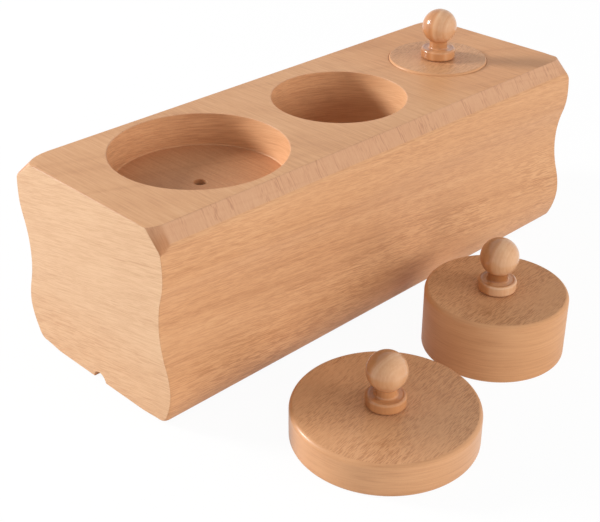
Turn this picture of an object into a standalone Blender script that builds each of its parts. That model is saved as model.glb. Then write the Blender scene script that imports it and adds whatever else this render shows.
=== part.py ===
"""Knobbed cylinder block: a moulded beech block with three sockets of unlike width and depth,
and three turned cylinders that are lifted out by their knobs.

The small cylinder is in its socket, and the large and the medium one stand in front of theirs.
Metres, +Z up. The origin is on the ground, in the middle of the whole set.
"""

import math

import bmesh
import bpy
from mathutils import Vector

# Sockets
LARGE_SOCKET_DIAMETER = 0.110
LARGE_SOCKET_DEPTH = 0.022
MEDIUM_SOCKET_DIAMETER = 0.090
MEDIUM_SOCKET_DEPTH = 0.0415
SMALL_SOCKET_DIAMETER = 0.070
SMALL_SOCKET_DEPTH = 0.059
SOCKET_WEB = 0.021          # wood between two neighbouring sockets
SOCKET_FLOOR = 0.0045       # wood between the deepest socket and the glue face
SOCKET_COVE = 0.001         # hollow rounding where the wall meets the floor
MOUTH_ROUNDING = 0.0008
VENT_DIAMETER = 0.008       # lets the air out from under a cylinder

# Block, along its length
END_MARGIN = 0.030          # wood between an end face and the nearest socket
END_EASE = 0.0004           # how deep the end faces' edges are rounded
FOOT_EASE = 0.0025          # the same round the foot
SHOULDER_EASE = 0.0022      # the same at the chamfer's foot, where the corners are sanded away
CORNER_EASE = 0.0026        # the same at the chamfer's top
EASE_SLANT = 2.8            # how much longer these roundings run along the block than across
EASE_RUN = 0.010            # how far a corner's rounding takes to fade along a level face

# Block, across: its section is symmetrical, and every radius is that of a cutter or a sanded edge
LOWER_BOARD_THICKNESS = 0.0635
GLUE_GAP = 0.0003
RIM_FLAT = 0.0058           # flat between the large socket and the chamfer
SIDE_WALL = 0.0144          # wood between the large socket and the side at the upper bulge
WAIST_INSET = 0.0062        # how far the waist lies inside the upper bulge
LOWER_BULGE_EXTRA = 0.0006  # how far the lower bulge stands outside the upper one
LOWER_BULGE_RISE = 0.0255   # height of the lower bulge over the ground
WAIST_RISE = 0.0015         # height of the waist over the glue face
CHAMFER_DROP = 0.0114       # height of the chamfer
SHOULDER_RISE = 0.0131      # from the upper bulge up to the chamfer
SHOULDER_RADIUS = 0.100
FOOT_RADIUS = 0.047
FOOT_ROUNDING = 0.011
CHAMFER_TOP_ROUNDING = 0.001
CHAMFER_FOOT_ROUNDING = 0.008
GROOVE_WIDTH = 0.012        # groove along the underside, which joins the vents to the air
GROOVE_DEPTH = 0.0055

# Cylinders
LARGE_CYLINDER_HEIGHT = 0.021
MEDIUM_CYLINDER_HEIGHT = 0.0405
SMALL_CYLINDER_HEIGHT = 0.060
CYLINDER_CLEARANCE = 0.0003  # round a cylinder in its socket
SEAT_GAP = 0.0003            # under a piece that rests on another
CYLINDER_TOP_ROUNDING = 0.003
LARGE_STAND_GAP = 0.0313     # floor between the block and the cylinder in front of it
MEDIUM_STAND_GAP = 0.0263
MEDIUM_STAND_SHIFT = -0.0026  # the medium cylinder stands this far along from its socket

# Knobs, all three alike
KNOB_BALL_DIAMETER = 0.024
KNOB_NECK_DIAMETER = 0.0126
KNOB_NECK_LENGTH = 0.0052
KNOB_NECK_FILLET = 0.0012
KNOB_COLLAR_DIAMETER = 0.024
KNOB_COLLAR_HEIGHT = 0.007
KNOB_COLLAR_ROUNDING = 0.002
SPIGOT_DIAMETER = 0.010
SPIGOT_CHAMFER = 0.001
SPIGOT_FLOOR = 0.007        # wood under the spigot in the lowest cylinder
SPIGOT_CLEARANCE = 0.0003

# How finely round forms are drawn
WAIST_SHARE = 0.6           # the waist's share of the two radii that make up a side's wave
SOCKET_SEGMENTS = 72
CYLINDER_SEGMENTS = 56
KNOB_SEGMENTS = 28
VENT_SEGMENTS = 20
GROOVE_SEGMENTS = 32
EDGE_STEPS = 3              # in the rounding of an edge
FINE_STEPS = 2              # in the smallest roundings
EASE_STEPS = 4
WAVE_STEPS = 4
BALL_STEPS = 12
SMOOTH_ANGLE = math.radians(30)
OVERRUN = 0.005             # how far a cutter runs past what it cuts

BOARD_COLOUR = (0.66, 0.39, 0.22)
CYLINDER_COLOUR = (0.60, 0.34, 0.17)
KNOB_COLOUR = (0.58, 0.30, 0.14)
LACQUER_ROUGHNESS = 0.42
KNOB_ROUGHNESS = 0.32

# Sizes that follow from those above
LARGE_RADIUS = LARGE_SOCKET_DIAMETER / 2
MEDIUM_RADIUS = MEDIUM_SOCKET_DIAMETER / 2
SMALL_RADIUS = SMALL_SOCKET_DIAMETER / 2
BLOCK_LENGTH = 2 * (END_MARGIN + LARGE_RADIUS + MEDIUM_RADIUS + SMALL_RADIUS + SOCKET_WEB)
BLOCK_END = BLOCK_LENGTH / 2
LARGE_X = -BLOCK_END + END_MARGIN + LARGE_RADIUS
MEDIUM_X = LARGE_X + LARGE_RADIUS + SOCKET_WEB + MEDIUM_RADIUS
SMALL_X = MEDIUM_X + MEDIUM_RADIUS + SOCKET_WEB + SMALL_RADIUS
DEEPEST_SOCKET = max(LARGE_SOCKET_DEPTH, MEDIUM_SOCKET_DEPTH, SMALL_SOCKET_DEPTH)
BLOCK_TOP = LOWER_BOARD_THICKNESS + SOCKET_FLOOR + DEEPEST_SOCKET
WIDEST_RADIUS = max(LARGE_RADIUS, MEDIUM_RADIUS, SMALL_RADIUS)
UPPER_BULGE = WIDEST_RADIUS + SIDE_WALL
WAIST = UPPER_BULGE - WAIST_INSET
LOWER_BULGE = UPPER_BULGE + LOWER_BULGE_EXTRA
BLOCK_HALF_WIDTH = max(UPPER_BULGE, LOWER_BULGE)
CYLINDER_FOOT_ROUNDING = SOCKET_COVE + CYLINDER_CLEARANCE
LOWEST_CYLINDER = min(LARGE_CYLINDER_HEIGHT, MEDIUM_CYLINDER_HEIGHT, SMALL_CYLINDER_HEIGHT)
SPIGOT_LENGTH = LOWEST_CYLINDER - SPIGOT_FLOOR

# Each socket: where its axis is, its radius and its depth
SOCKETS = {
    "large": (LARGE_X, LARGE_RADIUS, LARGE_SOCKET_DEPTH),
    "medium": (MEDIUM_X, MEDIUM_RADIUS, MEDIUM_SOCKET_DEPTH),
    "small": (SMALL_X, SMALL_RADIUS, SMALL_SOCKET_DEPTH),
}

# How far the cylinders that stand in front reach from the block's middle line
LARGE_STAND = BLOCK_HALF_WIDTH + LARGE_STAND_GAP + LARGE_RADIUS - CYLINDER_CLEARANCE
MEDIUM_STAND = BLOCK_HALF_WIDTH + MEDIUM_STAND_GAP + MEDIUM_RADIUS - CYLINDER_CLEARANCE
FRONT_REACH = max(
    LARGE_STAND + LARGE_RADIUS - CYLINDER_CLEARANCE,
    MEDIUM_STAND + MEDIUM_RADIUS - CYLINDER_CLEARANCE,
)
BLOCK_Y = (FRONT_REACH - BLOCK_HALF_WIDTH) / 2


def clear_scene():
    for obj in list(bpy.data.objects):
        bpy.data.objects.remove(obj, do_unlink=True)


def wood(name, colour, roughness):
    """A lacquered wood of one piece's own."""
    material = bpy.data.materials.new(name)
    material.use_nodes = True
    shader = material.node_tree.nodes["Principled BSDF"]
    shader.inputs["Base Color"].default_value = (*colour, 1)
    shader.inputs["Roughness"].default_value = roughness
    shader.inputs["Metallic"].default_value = 0
    return material


def empty(name, location):
    holder = bpy.data.objects.new(name, None)
    holder.location = location
    bpy.context.scene.collection.objects.link(holder)
    return holder


def shade(mesh):
    mesh.shade_smooth()
    mesh.set_sharp_from_angle(angle=SMOOTH_ANGLE)


def object_from(bm, name, material=None, parent=None, location=(0, 0, 0)):
    mesh = bpy.data.meshes.new(name)
    bm.to_mesh(mesh)
    bm.free()
    shade(mesh)
    if material:
        mesh.materials.append(material)
    obj = bpy.data.objects.new(name, mesh)
    obj.parent = parent
    obj.location = location
    bpy.context.scene.collection.objects.link(obj)
    return obj


def on_circle(centre, radius, angle):
    return centre + radius * Vector((math.cos(angle), math.sin(angle)))


def arc(centre, radius, start, end, steps):
    """Points on a circle from one angle to the other, both ends included."""
    turn = (end - start) / steps
    return [on_circle(centre, radius, start + turn * step) for step in range(steps + 1)]


def angle_of(vector):
    return math.atan2(vector.y, vector.x)


def fillet_in_arc(centre, radius, corner, along, inward, fillet):
    """Rounds the corner between a circle and a line, both seen from inside.

    along points from the rest of the line to the corner. It returns the rounding's centre
    and its angles where it touches the circle and the line.
    """
    start = corner + fillet * inward - centre
    half = start.dot(along)
    reach = radius - fillet
    travel = -half + math.sqrt(half * half - start.length_squared + reach * reach)
    middle = centre + start + travel * along
    return middle, angle_of(middle - centre), angle_of(-inward)


def wave(bulge, bulge_height, waist_height):
    """The two arcs of a side between a bulge and the waist, which meet without a kink.

    It returns both radii and the angle that each arc turns through.
    """
    inset = bulge - WAIST
    rise = abs(bulge_height - waist_height)
    total = (inset * inset + rise * rise) / (2 * inset)
    return (1 - WAIST_SHARE) * total, WAIST_SHARE * total, math.asin(rise / total)


def waist_points(radius, start, end, steps):
    """The hollow arc of the waist, from one height over the waist to another."""
    middle = Vector((WAIST + radius, LOWER_BOARD_THICKNESS + WAIST_RISE))
    from_angle = math.pi - math.asin(start / radius)
    to_angle = math.pi - math.asin(end / radius)
    return arc(middle, radius, from_angle, to_angle, steps)


def level_run(start, end, height):
    """Points along a level stretch of the section."""
    stride = (end - start) / WAVE_STEPS
    return [Vector((start + stride * step, height)) for step in range(WAVE_STEPS + 1)]


def drawn_in(points, start, end):
    """Adds to each point how far the end face's outline is drawn in there, as a vector."""
    last = len(points) - 1
    return [(point, start.lerp(end, index / last)) for index, point in enumerate(points)]


def lower_board_side():
    """Half the lower board's outline, from the underside up to the glue face."""
    bulge_radius, waist_radius, turn = wave(
        LOWER_BULGE, LOWER_BULGE_RISE, LOWER_BOARD_THICKNESS + WAIST_RISE
    )
    foot_centre = Vector((LOWER_BULGE - FOOT_RADIUS, LOWER_BULGE_RISE))
    ground = Vector((LOWER_BULGE, 0))
    middle, on_side, on_ground = fillet_in_arc(
        foot_centre, FOOT_RADIUS, ground, Vector((1, 0)), Vector((0, 1)), FOOT_ROUNDING
    )
    bulge_centre = Vector((LOWER_BULGE - bulge_radius, LOWER_BULGE_RISE))
    wave_height = -waist_radius * math.sin(turn)
    glue_height = -WAIST_RISE - GLUE_GAP / 2

    under_ease = Vector((0, END_EASE))
    ground_ease = Vector((0, FOOT_EASE))
    foot_ease = -FOOT_EASE * on_circle(Vector((0, 0)), 1, on_side)
    side_ease = Vector((-END_EASE, 0))
    foot = arc(middle, FOOT_ROUNDING, on_ground, on_side, 2 * EDGE_STEPS)
    foot_side = arc(foot_centre, FOOT_RADIUS, on_side, 0, WAVE_STEPS)
    bulge = arc(bulge_centre, bulge_radius, 0, turn, WAVE_STEPS)
    hollow = waist_points(waist_radius, wave_height, glue_height, WAVE_STEPS)
    side = drawn_in(level_run(middle.x - EASE_RUN, middle.x, 0), under_ease, ground_ease)
    side += drawn_in(foot, ground_ease, foot_ease)[1:]
    side += drawn_in(foot_side, foot_ease, side_ease)[1:]
    side += drawn_in(bulge, side_ease, side_ease)[1:]
    return side + drawn_in(hollow, side_ease, side_ease)[1:]


def upper_board_side():
    """Half the upper board's outline, from the glue face up to the top."""
    waist_height = LOWER_BOARD_THICKNESS + WAIST_RISE
    bulge_height = BLOCK_TOP - CHAMFER_DROP - SHOULDER_RISE
    bulge_radius, waist_radius, turn = wave(UPPER_BULGE, bulge_height, waist_height)
    lower_waist_radius = wave(LOWER_BULGE, LOWER_BULGE_RISE, waist_height)[1]
    bulge_centre = Vector((UPPER_BULGE - bulge_radius, bulge_height))
    wave_height = waist_radius * math.sin(turn)

    shoulder_centre = Vector((UPPER_BULGE - SHOULDER_RADIUS, bulge_height))
    shoulder_angle = math.asin(SHOULDER_RISE / SHOULDER_RADIUS)
    chamfer_foot = on_circle(shoulder_centre, SHOULDER_RADIUS, shoulder_angle)
    chamfer_top = Vector((WIDEST_RADIUS + RIM_FLAT, BLOCK_TOP))
    down = (chamfer_foot - chamfer_top).normalized()
    inward = Vector((down.y, -down.x))
    middle, on_side, on_chamfer = fillet_in_arc(
        shoulder_centre, SHOULDER_RADIUS, chamfer_foot, down, inward, CHAMFER_FOOT_ROUNDING
    )
    setback = CHAMFER_TOP_ROUNDING * math.tan((math.pi / 2 - on_chamfer) / 2)
    top_centre = Vector((chamfer_top.x - setback, BLOCK_TOP - CHAMFER_TOP_ROUNDING))

    side_ease = Vector((-END_EASE, 0))
    shoulder_ease = SHOULDER_EASE * inward
    corner_ease = Vector((-CORNER_EASE, -END_EASE))
    top_ease = Vector((0, -END_EASE))
    glue_edge = waist_points(lower_waist_radius, GLUE_GAP / 2 - WAIST_RISE, 0, 1)
    hollow = waist_points(waist_radius, 0, wave_height, WAVE_STEPS)
    bulge = arc(bulge_centre, bulge_radius, -turn, 0, WAVE_STEPS)
    over_bulge = arc(shoulder_centre, SHOULDER_RADIUS, 0, on_side, EDGE_STEPS)
    shoulder = arc(middle, CHAMFER_FOOT_ROUNDING, on_side, on_chamfer, 2 * EDGE_STEPS)
    edge = arc(top_centre, CHAMFER_TOP_ROUNDING, on_chamfer, math.pi / 2, FINE_STEPS)
    top = level_run(top_centre.x, top_centre.x - EASE_RUN, BLOCK_TOP)
    side = drawn_in(glue_edge, side_ease, side_ease)
    side += drawn_in(hollow, side_ease, side_ease)[1:]
    side += drawn_in(bulge, side_ease, side_ease)[1:]
    side += drawn_in(over_bulge, side_ease, side_ease)[1:]
    side += drawn_in(shoulder, side_ease, shoulder_ease)[1:]
    side += drawn_in(edge, corner_ease, corner_ease)
    return side + drawn_in(top, corner_ease, top_ease)[1:]


def mirrored(vector):
    return Vector((-vector.x, vector.y))


def board_mesh(side):
    """Lofts a board along its length from half its outline, with rounded edges at both ends."""
    outline = side + [(mirrored(point), mirrored(ease)) for point, ease in reversed(side)]
    bm = bmesh.new()
    rings = []
    for end in (-1, 1):
        steps = range(EASE_STEPS + 1) if end < 0 else range(EASE_STEPS, -1, -1)
        for step in steps:
            angle = math.pi / 2 * step / EASE_STEPS
            ring = []
            for point, ease in outline:
                place = point + ease * (1 - math.sin(angle))
                run = EASE_SLANT * ease.length * (1 - math.cos(angle))
                ring.append(bm.verts.new((end * (BLOCK_END - run), place.x, place.y)))
            rings.append(ring)
    for ring, following in zip(rings, rings[1:]):
        for index in range(len(ring)):
            after = (index + 1) % len(ring)
            bm.faces.new((ring[index], ring[after], following[after], following[index]))
    bm.faces.new(reversed(rings[0]))
    bm.faces.new(rings[-1])
    bmesh.ops.recalc_face_normals(bm, faces=bm.faces)
    return bm


def turned_mesh(profile, segments):
    """Turns a profile round the Z axis. It runs from the axis at the bottom to the axis on top."""
    bm = bmesh.new()
    rings = []
    for radius, height in profile:
        if radius == 0:
            rings.append([bm.verts.new((0, 0, height))])
            continue
        ring = []
        for segment in range(segments):
            angle = 2 * math.pi * segment / segments
            ring.append(bm.verts.new((radius * math.cos(angle), radius * math.sin(angle), height)))
        rings.append(ring)
    for lower, upper in zip(rings, rings[1:]):
        for index in range(segments):
            after = (index + 1) % segments
            if len(lower) == 1:
                bm.faces.new((lower[0], upper[after], upper[index]))
            elif len(upper) == 1:
                bm.faces.new((lower[index], lower[after], upper[0]))
            else:
                bm.faces.new((lower[index], lower[after], upper[after], upper[index]))
    return bm


def cut(obj, cutters):
    """Cuts the cutters out of an object, and keeps its edges crisp and its round walls smooth."""
    for cutter in cutters:
        boolean = obj.modifiers.new(cutter.name, "BOOLEAN")
        boolean.operation = "DIFFERENCE"
        boolean.solver = "EXACT"
        boolean.object = cutter
    bpy.context.view_layer.update()
    graph = bpy.context.evaluated_depsgraph_get()
    mesh = bpy.data.meshes.new_from_object(obj.evaluated_get(graph))
    obj.modifiers.clear()
    obj.data = mesh
    mesh.name = obj.name
    shade(mesh)
    for cutter in cutters:
        bpy.data.objects.remove(cutter, do_unlink=True)


def socket_cutter(name, parent, x, radius, depth):
    """What the socket and its vent take away: a turned form with a cove and a rounded mouth."""
    floor = BLOCK_TOP - depth
    cove_centre = Vector((radius - SOCKET_COVE, floor + SOCKET_COVE))
    mouth_centre = Vector((radius + MOUTH_ROUNDING, BLOCK_TOP - MOUTH_ROUNDING))
    below = LOWER_BOARD_THICKNESS - OVERRUN
    profile = [(0, below), (VENT_DIAMETER / 2, below), (VENT_DIAMETER / 2, floor)]
    profile += arc(cove_centre, SOCKET_COVE, -math.pi / 2, 0, FINE_STEPS)
    profile += arc(mouth_centre, MOUTH_ROUNDING, math.pi, math.pi / 2, FINE_STEPS)
    profile += [(radius + MOUTH_ROUNDING, BLOCK_TOP + OVERRUN), (0, BLOCK_TOP + OVERRUN)]
    bm = turned_mesh(profile, SOCKET_SEGMENTS)
    return object_from(bm, name + "_socket_cutter", parent=parent, location=(x, 0, 0))


def vent_cutter(name, parent, x):
    radius = VENT_DIAMETER / 2
    above = LOWER_BOARD_THICKNESS + OVERRUN
    profile = [(0, -OVERRUN), (radius, -OVERRUN), (radius, above), (0, above)]
    bm = turned_mesh(profile, VENT_SEGMENTS)
    return object_from(bm, name + "_vent_cutter", parent=parent, location=(x, 0, 0))


def groove_cutter(parent):
    """A long round rod, low enough for its top to cut the groove's width and depth."""
    half = GROOVE_WIDTH / 2
    radius = (half * half + GROOVE_DEPTH * GROOVE_DEPTH) / (2 * GROOVE_DEPTH)
    reach = BLOCK_END + OVERRUN
    bm = turned_mesh([(0, -reach), (radius, -reach), (radius, reach), (0, reach)], GROOVE_SEGMENTS)
    rod = object_from(bm, "groove_cutter", parent=parent, location=(0, 0, GROOVE_DEPTH - radius))
    rod.rotation_euler = (0, math.pi / 2, 0)
    return rod


def make_block():
    """Two boards, glued at mid height, then moulded, bored from above and grooved below."""
    block = empty("block", (0, BLOCK_Y, 0))
    upper = object_from(
        board_mesh(upper_board_side()),
        "block_upper_board",
        wood("upper_board_beech", BOARD_COLOUR, LACQUER_ROUGHNESS),
        block,
    )
    lower = object_from(
        board_mesh(lower_board_side()),
        "block_lower_board",
        wood("lower_board_beech", BOARD_COLOUR, LACQUER_ROUGHNESS),
        block,
    )
    cut(upper, [socket_cutter(name, block, *socket) for name, socket in SOCKETS.items()])
    vents = [vent_cutter(name, block, socket[0]) for name, socket in SOCKETS.items()]
    cut(lower, vents + [groove_cutter(block)])


def cylinder_profile(radius, height):
    """A turned cylinder with a blind bore for its knob's spigot."""
    bore = SPIGOT_DIAMETER / 2 + SPIGOT_CLEARANCE
    foot_centre = Vector((radius - CYLINDER_FOOT_ROUNDING, CYLINDER_FOOT_ROUNDING))
    top_centre = Vector((radius - CYLINDER_TOP_ROUNDING, height - CYLINDER_TOP_ROUNDING))
    profile = [(0, 0)]
    profile += arc(foot_centre, CYLINDER_FOOT_ROUNDING, -math.pi / 2, 0, FINE_STEPS)
    profile += arc(top_centre, CYLINDER_TOP_ROUNDING, 0, math.pi / 2, EDGE_STEPS + 1)
    profile += [(bore, height), (bore, height - SPIGOT_LENGTH), (0, height - SPIGOT_LENGTH)]
    return profile


def knob_profile():
    """Spigot, collar, neck and ball, turned in one. Height 0 is the collar's underside."""
    spigot = SPIGOT_DIAMETER / 2
    neck = KNOB_NECK_DIAMETER / 2
    ball = KNOB_BALL_DIAMETER / 2
    collar = KNOB_COLLAR_DIAMETER / 2
    rounding = KNOB_COLLAR_ROUNDING
    fillet = KNOB_NECK_FILLET
    ball_height = KNOB_COLLAR_HEIGHT + KNOB_NECK_LENGTH + math.sqrt(ball * ball - neck * neck)
    hollow = Vector((neck + fillet, 0))
    hollow.y = ball_height - math.sqrt((ball + fillet) ** 2 - hollow.x**2)
    ball_centre = Vector((0, ball_height))
    onto_ball = angle_of(hollow - ball_centre)

    profile = [(0, -SPIGOT_LENGTH), (spigot - SPIGOT_CHAMFER, -SPIGOT_LENGTH)]
    profile += [(spigot, SPIGOT_CHAMFER - SPIGOT_LENGTH), (spigot, 0)]
    low_edge = Vector((collar - rounding, rounding))
    high_edge = Vector((collar - rounding, KNOB_COLLAR_HEIGHT - rounding))
    profile += arc(low_edge, rounding, -math.pi / 2, 0, EDGE_STEPS)
    profile += arc(high_edge, rounding, 0, math.pi / 2, EDGE_STEPS)
    neck_foot = Vector((neck + fillet, KNOB_COLLAR_HEIGHT + fillet))
    profile += arc(neck_foot, fillet, -math.pi / 2, -math.pi, FINE_STEPS)
    profile += arc(hollow, fillet, math.pi, onto_ball + math.pi, FINE_STEPS)
    profile += arc(ball_centre, ball, onto_ball, math.pi / 2, BALL_STEPS)[1:-1]
    profile.append((0, ball_height + ball))
    return profile


def make_cylinder(name, socket_radius, height, place):
    """A cylinder and its knob. Their empty is on the axis that they are lifted along."""
    axis = empty(name + "_lift_axis", place)
    radius = socket_radius - CYLINDER_CLEARANCE
    object_from(
        turned_mesh(cylinder_profile(radius, height), CYLINDER_SEGMENTS),
        name + "_cylinder",
        wood(name + "_cylinder_beech", CYLINDER_COLOUR, LACQUER_ROUGHNESS),
        axis,
    )
    object_from(
        turned_mesh(knob_profile(), KNOB_SEGMENTS),
        name + "_cylinder_knob",
        wood(name + "_knob_beech", KNOB_COLOUR, KNOB_ROUGHNESS),
        axis,
        (0, 0, height + SEAT_GAP),
    )


def main():
    clear_scene()
    make_block()
    large_place = (LARGE_X, BLOCK_Y - LARGE_STAND, 0)
    medium_place = (MEDIUM_X + MEDIUM_STAND_SHIFT, BLOCK_Y - MEDIUM_STAND, 0)
    small_place = (SMALL_X, BLOCK_Y, BLOCK_TOP - SMALL_SOCKET_DEPTH + SEAT_GAP)
    make_cylinder("large", LARGE_RADIUS, LARGE_CYLINDER_HEIGHT, large_place)
    make_cylinder("medium", MEDIUM_RADIUS, MEDIUM_CYLINDER_HEIGHT, medium_place)
    make_cylinder("small", SMALL_RADIUS, SMALL_CYLINDER_HEIGHT, small_place)


main()
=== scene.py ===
import math

import bmesh
import bpy
from bpy.props import FloatProperty, FloatVectorProperty, PointerProperty
from mathutils import Matrix, Vector


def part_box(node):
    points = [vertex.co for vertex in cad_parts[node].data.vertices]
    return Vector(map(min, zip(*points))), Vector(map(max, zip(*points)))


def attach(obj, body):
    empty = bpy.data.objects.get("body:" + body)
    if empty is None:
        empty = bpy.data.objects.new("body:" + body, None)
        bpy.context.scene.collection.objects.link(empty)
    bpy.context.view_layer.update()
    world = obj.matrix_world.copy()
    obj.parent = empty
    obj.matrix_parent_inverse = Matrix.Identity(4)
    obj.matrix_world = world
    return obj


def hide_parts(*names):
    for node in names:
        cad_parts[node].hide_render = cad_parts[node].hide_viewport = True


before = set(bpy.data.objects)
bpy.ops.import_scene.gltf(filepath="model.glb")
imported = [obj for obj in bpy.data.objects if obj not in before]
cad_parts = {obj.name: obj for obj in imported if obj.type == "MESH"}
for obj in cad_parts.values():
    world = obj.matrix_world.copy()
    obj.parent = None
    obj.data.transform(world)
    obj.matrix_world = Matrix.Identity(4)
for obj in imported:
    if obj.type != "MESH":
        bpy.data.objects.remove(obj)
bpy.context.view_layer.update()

bl_info = {
    "name": "Knobbed cylinder block",
    "version": (1, 0, 0),
    "blender": (4, 5, 0),
    "location": "View3D > Sidebar > Beech",
    "description": "Builds a knobbed cylinder block in lacquered beech, and the studio that it stands in",
    "category": "Object",
}

MM = 1000  # millimetres in a metre: the figure of the wood is written in them

# How finely round forms are drawn
SOCKET_SEGMENTS = 160
CYLINDER_SEGMENTS = 192
KNOB_SEGMENTS = 96
GROOVE_SEGMENTS = 96
VENT_SEGMENTS = 80
EDGE_STEPS = 6
FINE_STEPS = 4
WAVE_STEPS = 12
BALL_STEPS = 40
SMOOTH_ANGLE = math.radians(24)

WAIST_SHARE = 0.6  # what the waist's hollow arc takes of the wave from bulge to waist
OVERRUN = 0.005  # how far a cutter runs past what it cuts

CYLINDERS = ("large", "medium", "small")
BODY_NAME = "_cylinder_body"


# Sizes and looks

def box_size(node, axis):
    low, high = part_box(node)
    return high[axis] - low[axis]


def box_middle(node, axis):
    low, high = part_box(node)
    return (high[axis] + low[axis]) / 2


def property_kind(make, **settings):
    """A kind of property, which then takes a name, a description and a default."""
    def field(name, description, default):
        return make(name=name, description=description, default=default, **settings)

    return field


length = property_kind(FloatProperty, unit="LENGTH", precision=5)
amount = property_kind(FloatProperty, precision=3)
angle = property_kind(FloatProperty, subtype="ANGLE")
power = property_kind(FloatProperty, unit="POWER")
colour = property_kind(FloatVectorProperty, subtype="COLOR", size=3, min=0, max=1)
place = property_kind(FloatVectorProperty, subtype="TRANSLATION", size=3)


class BlockSizes(bpy.types.PropertyGroup):
    """Sizes of the two glued boards. The outer ones come from the frame."""

    full_length: length("Length", "From end face to end face", box_size("block_upper_board", 0))
    upper_width: length("Upper width", "Across the upper bulges", box_size("block_upper_board", 1))
    lower_width: length("Lower width", "Across the lower bulges", box_size("block_lower_board", 1))
    top: length("Height", "Top face over the ground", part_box("block_upper_board")[1].z)
    glue_height: length(
        "Glue face",
        "Where the boards meet",
        (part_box("block_upper_board")[0].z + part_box("block_lower_board")[1].z) / 2,
    )
    glue_line: length("Glue line", "Thickness of the glue between the boards", 0.00002)
    clearance: length("Clearance", "Between a cylinder and its socket, all round", 0.0003)
    large_depth: length("Large socket", "Depth of the large socket", 0.022)
    medium_depth: length("Medium socket", "Depth of the medium socket", 0.0415)
    small_depth: length("Small socket", "Depth of the small socket", 0.059)
    cove: length("Cove", "Rounding where a socket's wall meets its floor", 0.001)
    mouth_rounding: length("Mouth", "Rounding of a socket's mouth", 0.0005)
    vent: length("Vent", "Diameter of the hole in each socket's floor", 0.008)
    vent_rounding: length("Vent edge", "Rounding of a vent's edge", 0.0005)
    rim_flat: length("Rim", "Flat between the large socket and the chamfer", 0.0058)
    waist_inset: length("Waist", "How far the waist lies inside the upper bulge", 0.0062)
    waist_rise: length("Waist height", "Height of the waist over the glue face", 0.0015)
    lower_bulge_rise: length("Lower bulge", "Height of the lower bulge", 0.0255)
    chamfer_drop: length("Chamfer", "Height of the chamfer", 0.0114)
    shoulder_rise: length("Shoulder", "From the upper bulge up to the chamfer", 0.0131)
    shoulder_radius: length("Shoulder radius", "Radius of the side over the bulge", 0.100)
    foot_radius: length("Foot radius", "Radius of the side under the lower bulge", 0.047)
    foot_rounding: length("Foot", "Rounding between the side and the underside", 0.011)
    chamfer_top: length("Chamfer top", "Rounding between the chamfer and the top", 0.001)
    chamfer_foot: length("Chamfer foot", "Rounding between the chamfer and the side", 0.008)
    end_ease: length("End edge", "How deep the end faces' edges are rounded", 0.0004)
    foot_ease: length("Foot corner", "The same round the foot", 0.0019)
    shoulder_ease: length("Shoulder corner", "The same at the chamfer's foot, sanded away", 0.0014)
    corner_ease: length("Top corner", "The same at the chamfer's top", 0.0062)
    ease_slant: amount("Slant", "How much longer they run along the block than across", 1.9)
    ease_run: length("Corner run", "How far they take to fade along a level face", 0.014)
    back_share: amount("Back corners", "How many times deeper they are sanded", 1.6)
    snug: length("Snug", "How much closer the small socket fits", 0.0002)
    groove_width: length("Groove", "Width of the groove along the underside", 0.012)
    groove_depth: length("Groove depth", "Depth of that groove", 0.0055)


class CylinderSizes(bpy.types.PropertyGroup):
    """Sizes of the turned cylinders and their knobs. Radii and heights come from the frame."""

    top_rounding: length("Top edge", "Radius of the tool that rounds the top edge", 0.0034)
    small_rounding: length("Small top edge", "The same for the small cylinder", 0.0018)
    top_facing: length("Facing", "How much the faced top takes off that rounding", 0.00016)
    foot_rounding: length("Foot edge", "Rounding of the foot", 0.0015)
    bore_clearance: length("Bore", "Clearance round a knob's spigot", 0.0003)
    spigot: length("Spigot", "Diameter of a knob's spigot", 0.010)
    spigot_chamfer: length("Spigot end", "Chamfer at the spigot's end", 0.001)
    spigot_length: length("Spigot length", "How deep a spigot goes", 0.014)
    neck: length("Neck", "Diameter of a knob's neck", 0.0126)
    neck_fillet: length("Neck fillet", "Hollow rounding at both ends of the neck", 0.0012)
    collar_height: length("Collar", "Height of the collar under the neck", 0.007)
    collar_rounding: length("Collar edge", "Rounding of the collar's edges", 0.0016)
    collar_lip: length("Lip", "How far the collar's rim stands over its dished top", 0.0002)
    lip_width: length("Lip width", "Width of the hollow inside that rim", 0.0011)


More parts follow.
